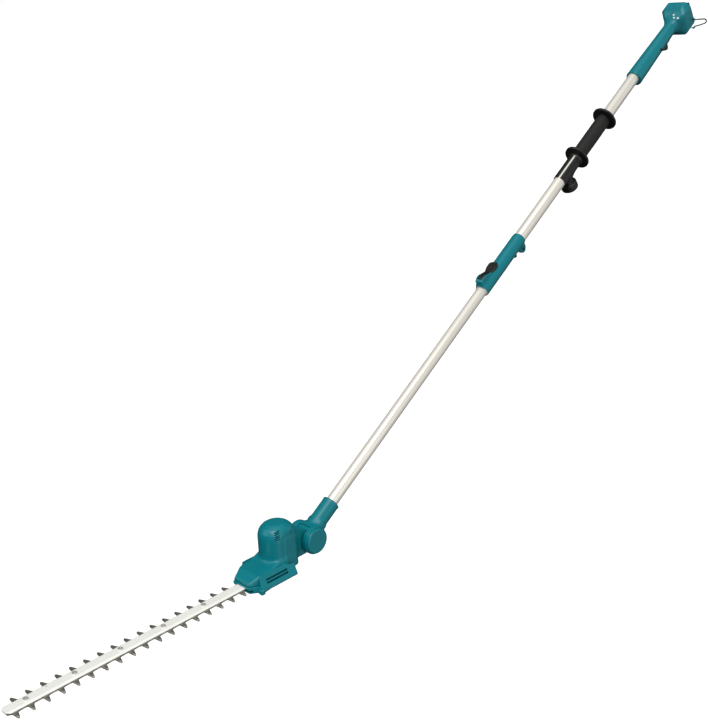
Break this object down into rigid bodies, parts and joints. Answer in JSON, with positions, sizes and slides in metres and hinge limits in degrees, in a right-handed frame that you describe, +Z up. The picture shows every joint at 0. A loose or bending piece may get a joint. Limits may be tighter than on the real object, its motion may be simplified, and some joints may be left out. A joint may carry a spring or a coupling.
{
  "type": "pole hedge trimmer",
  "caption": "Cordless pole hedge trimmer: double-sided reciprocating blade on a tilting motor head, telescopic pole, sliding front grip and rear handle with a battery rail.",
  "frame": {"origin": "centre of the rear hand grip, on the pole's axis", "axes": "+X from the blade's tip towards the user, level with the blade; +Y to the side away from the tilt lock button; +Z up, away from the ground; the pole rises towards the user in the XZ plane"},
  "size_m": [2.0759, 0.1003, 0.9695],
  "materials": {
    "housing_teal": "moulded, fine grain",
    "black_plastic": "moulded, semi-matte",
    "grip_foam": "closed-cell foam",
    "trim_ring": "pale moulded ring",
    "tube_grey": "satin, clear lacquer",
    "blade_steel": "ground",
    "bright_steel": "zinc plated",
    "wire_black": "black coated wire",
    "bar_alu": "satin",
    "motor_steel": "dark drawn steel",
    "core_steel": "laminations with copper winding",
    "contact_brass": "bright",
    "motor_plastic": "moulded",
    "lead_sheath": "cable sheath",
    "board_green": "circuit board",
    "lens_clear": "diffusing lens"
  },
  "bodies": {
    "handle_pole": {"upper_tube": "tube_grey", "coiled_lead": "lead_sheath", "clamp_near": "housing_teal", "clamp_far": "housing_teal", "pole_rings": "trim_ring", "collet": "black_plastic", "lever_pin": "bright_steel", "handle_near": "housing_teal", "handle_far": "housing_teal", "shell_screws": "bright_steel", "trigger_pin": "bright_steel", "trigger_spring": "bright_steel", "switch_body": "black_plastic", "lock_off_spring": "bright_steel", "control_board": "board_green", "battery_plate": "black_plastic", "battery_terminals": "contact_brass", "lamp_lenses": "lens_clear"},
    "lower_pole": {"socket_near": "housing_teal", "socket_far": "housing_teal", "socket_screws": "bright_steel", "pivot_bolt": "bright_steel", "pivot_nut": "bright_steel", "lock_spring": "bright_steel", "far_cap": "housing_teal", "lower_tube": "tube_grey", "end_bush": "black_plastic", "lower_lead": "lead_sheath"},
    "tilt_lock": {"lock_button": "housing_teal", "lock_pin": "bright_steel"},
    "head": {"guide_bar": "bar_alu", "bar_screws": "bright_steel", "blade_nuts": "bright_steel", "head_housing": "housing_teal", "lower_cover": "housing_teal", "head_screws": "bright_steel", "gear_case": "bar_alu", "crank_bearings": "bright_steel", "motor_can": "motor_steel", "motor_magnets": "motor_steel", "brush_cap": "motor_plastic", "motor_bearings": "bright_steel", "detent_plate": "bright_steel"},
    "rotor": {"armature_core": "core_steel", "commutator": "contact_brass", "motor_shaft": "bright_steel", "cooling_fan": "motor_plastic"},
    "crank": {"crank_gear": "bright_steel"},
    "top_blade": {"upper_blade": "blade_steel"},
    "bottom_blade": {"lower_blade": "blade_steel"},
    "pole_lever": {"clamp_lever": "black_plastic"},
    "front_grip": {"grip_core": "black_plastic", "soft_grip": "grip_foam", "knob_nut": "bright_steel"},
    "grip_knob": {"clamp_knob": "black_plastic", "knob_bolt": "bright_steel"},
    "trigger_lever": {"trigger": "black_plastic"},
    "lock_off": {"lock_off_button": "black_plastic"},
    "power": {"power_button": "black_plastic"},
    "hanging_wire": {"wire_loop": "wire_black"}
  },
  "joints": [
    {"name": "pole_telescope", "type": "slide", "parent": "handle_pole", "child": "lower_pole", "axis": [0.84, 0, 0.5426], "range_m": [0, 0.56], "deforming": ["coiled_lead"]},
    {"name": "head_tilt", "type": "hinge", "parent": "lower_pole", "child": "head", "pos_m": [-1.2264, 0, -0.79218], "axis": [0, 1, 0], "range_deg": [-98.58, 16.43]},
    {"name": "tilt_lock_press", "type": "slide", "parent": "lower_pole", "child": "tilt_lock", "axis": [0, 1, 0], "range_m": [0, 0.003], "stiffness_N_per_m": 900, "springref_m": -0.004, "deforming": ["lock_spring"]},
    {"name": "motor_spin", "type": "hinge", "parent": "head", "child": "rotor", "pos_m": [-1.3014, 0, -0.79218], "axis": [0, 0, 1], "continuous": true},
    {"name": "crank_spin", "type": "hinge", "parent": "head", "child": "crank", "pos_m": [-1.3314, 0, -0.79218], "axis": [0, 0, 1], "continuous": true},
    {"name": "top_blade_stroke", "type": "slide", "parent": "head", "child": "top_blade", "axis": [1, 0, 0], "range_m": [0, 0.0135]},
    {"name": "bottom_blade_stroke", "type": "slide", "parent": "head", "child": "bottom_blade", "axis": [1, 0, 0], "range_m": [-0.0135, 0]},
    {"name": "pole_lever_open", "type": "hinge", "parent": "handle_pole", "child": "pole_lever", "pos_m": [-0.66155, 0, -0.40232], "axis": [0, -1, 0], "range_deg": [0, 90]},
    {"name": "front_grip_slide", "type": "slide", "parent": "handle_pole", "child": "front_grip", "axis": [0.84, 0, 0.5426], "range_m": [-0.14, 0.12]},
    {"name": "grip_knob_turn", "type": "hinge", "parent": "front_grip", "child": "grip_knob", "pos_m": [-0.3298, 0, -0.24875], "axis": [0.5426, 0, -0.84], "range_deg": [0, 360]},
    {"name": "trigger_pull", "type": "hinge", "parent": "handle_pole", "child": "trigger_lever", "pos_m": [0.06279, 0, 0.02627], "axis": [0, -1, 0], "range_deg": [0, 8], "stiffness_Nm_per_rad": 0.35, "springref_deg": -17.19, "deforming": ["trigger_spring"]},
    {"name": "lock_off_press", "type": "slide", "parent": "handle_pole", "child": "lock_off", "axis": [0, 1, 0], "range_m": [0, 0.003], "stiffness_N_per_m": 500, "springref_m": -0.003, "deforming": ["lock_off_spring"]},
    {"name": "power_button_press", "type": "slide", "parent": "handle_pole", "child": "power", "axis": [0.9089, 0, -0.4169], "range_m": [0, 0.001], "stiffness_N_per_m": 1500, "springref_m": -0.001},
    {"name": "hanging_wire_swing", "type": "hinge", "parent": "handle_pole", "child": "hanging_wire", "pos_m": [0.16871, -0.0378, 0.08088], "axis": [-0.1437, 0, 0.9896], "range_deg": [-50, 15]}
  ],
  "couplings": [
    {"joint": "crank_spin", "follows": "motor_spin", "ratio": -0.14286},
    {"joint": "bottom_blade_stroke", "follows": "top_blade_stroke", "ratio": -1}
  ]
}
